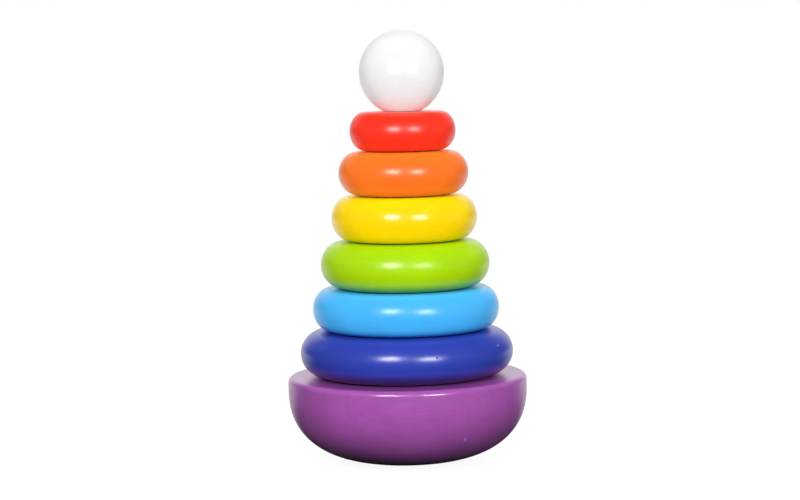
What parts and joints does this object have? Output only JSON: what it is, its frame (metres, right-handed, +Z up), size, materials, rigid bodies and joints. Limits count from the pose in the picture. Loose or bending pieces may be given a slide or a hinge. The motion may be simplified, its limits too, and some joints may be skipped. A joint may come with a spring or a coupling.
{
  "type": "ring stacker",
  "caption": "Wooden ring stacker: graduated coloured rings slide onto a peg in a rocking half-round base, and a white ball caps the peg.",
  "frame": {"origin": "middle of the base's flat foot, on the surface that the stacker stands on", "axes": "+Z up along the peg, +X to the right and +Y away from someone looking at the pictured side"},
  "size_m": [0.127, 0.127, 0.2282],
  "materials": {
    "purple_lacquer": "coloured satin-gloss lacquer on turned wood",
    "bare_beech": "bare sanded beech",
    "dark_blue_lacquer": "coloured satin-gloss lacquer on turned wood",
    "light_blue_lacquer": "coloured satin-gloss lacquer on turned wood",
    "green_lacquer": "coloured satin-gloss lacquer on turned wood",
    "yellow_lacquer": "coloured satin-gloss lacquer on turned wood",
    "orange_lacquer": "coloured satin-gloss lacquer on turned wood",
    "red_lacquer": "coloured satin-gloss lacquer on turned wood",
    "white_lacquer": "white satin-gloss lacquer on turned wood"
  },
  "bodies": {
    "base": {"base": "purple_lacquer", "peg": "bare_beech"},
    "ring_dark_blue": {"ring_dark_blue": "dark_blue_lacquer"},
    "ring_light_blue": {"ring_light_blue": "light_blue_lacquer"},
    "ring_green": {"ring_green": "green_lacquer"},
    "ring_yellow": {"ring_yellow": "yellow_lacquer"},
    "ring_orange": {"ring_orange": "orange_lacquer"},
    "ring_red": {"ring_red": "red_lacquer"},
    "top_ball": {"top_ball": "white_lacquer"}
  },
  "joints": [
    {"name": "lift_dark_blue", "type": "slide", "parent": "base", "child": "ring_dark_blue", "axis": [0, 0, 1], "range_m": [0, 0.172]},
    {"name": "lift_light_blue", "type": "slide", "parent": "ring_dark_blue", "child": "ring_light_blue", "axis": [0, 0, 1], "range_m": [0, 0.148]},
    {"name": "lift_green", "type": "slide", "parent": "ring_light_blue", "child": "ring_green", "axis": [0, 0, 1], "range_m": [0, 0.125]},
    {"name": "lift_yellow", "type": "slide", "parent": "ring_green", "child": "ring_yellow", "axis": [0, 0, 1], "range_m": [0, 0.1]},
    {"name": "lift_orange", "type": "slide", "parent": "ring_yellow", "child": "ring_orange", "axis": [0, 0, 1], "range_m": [0, 0.076]},
    {"name": "lift_red", "type": "slide", "parent": "ring_orange", "child": "ring_red", "axis": [0, 0, 1], "range_m": [0, 0.053]},
    {"name": "lift_ball", "type": "slide", "parent": "ring_red", "child": "top_ball", "axis": [0, 0, 1], "range_m": [0, 0.032]}
  ]
}
